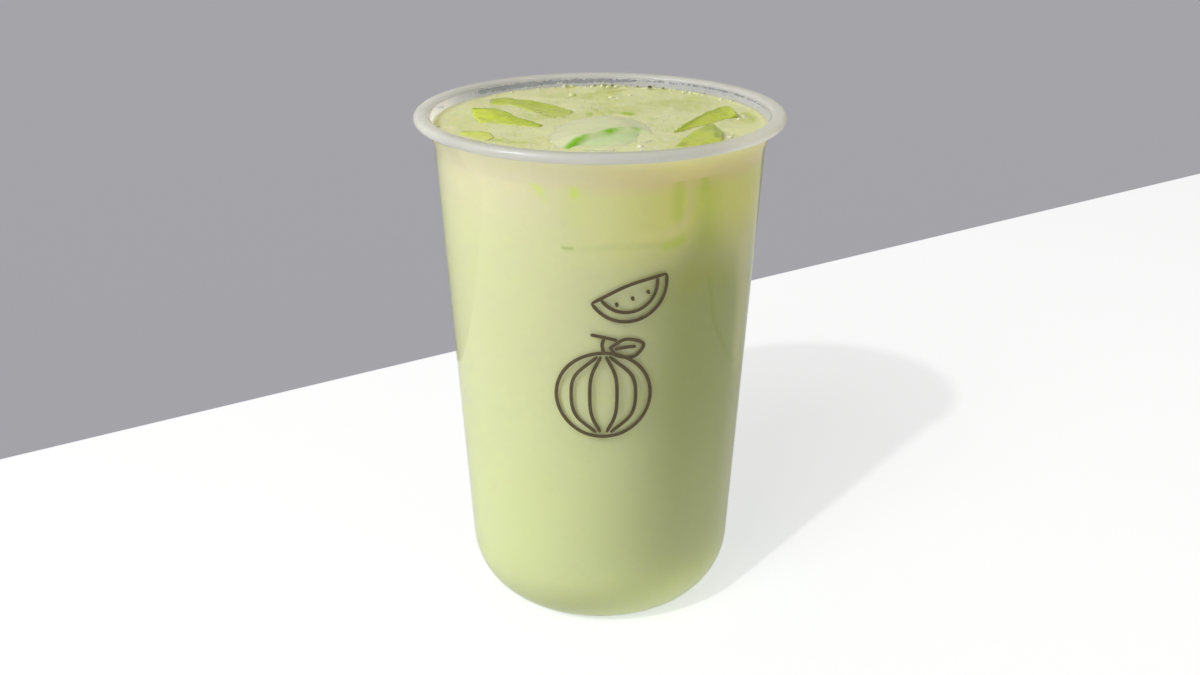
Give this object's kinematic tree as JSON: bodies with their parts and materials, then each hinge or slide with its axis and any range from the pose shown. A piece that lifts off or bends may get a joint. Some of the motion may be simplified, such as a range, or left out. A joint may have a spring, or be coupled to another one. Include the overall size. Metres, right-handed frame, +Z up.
{
  "type": "melon milk tea in a plastic cup",
  "caption": "Iced melon milk tea in a tall clear cup with a rolled rim and rounded base, filled nearly to the rim, with froth and ice at the surface.",
  "frame": {"origin": "centre of the cup's foot, on the surface that it stands on", "axes": "+Z up, out of the cup's mouth; the printed side faces -Y; +X is to the right seen from the printed side"},
  "size_m": [0.09, 0.09, 0.1265],
  "materials": {
    "cup": "clear, slightly frosted",
    "drink": "milky liquid",
    "foam": "fine froth",
    "ice": "wet"
  },
  "bodies": {
    "root": {"cup": "cup", "drink": "drink", "foam": "foam", "ice_back_left": "ice", "ice_left": "ice", "ice_front_left": "ice", "ice_centre": "ice", "ice_back_right": "ice", "ice_front_right": "ice"}
  },
  "joints": []
}
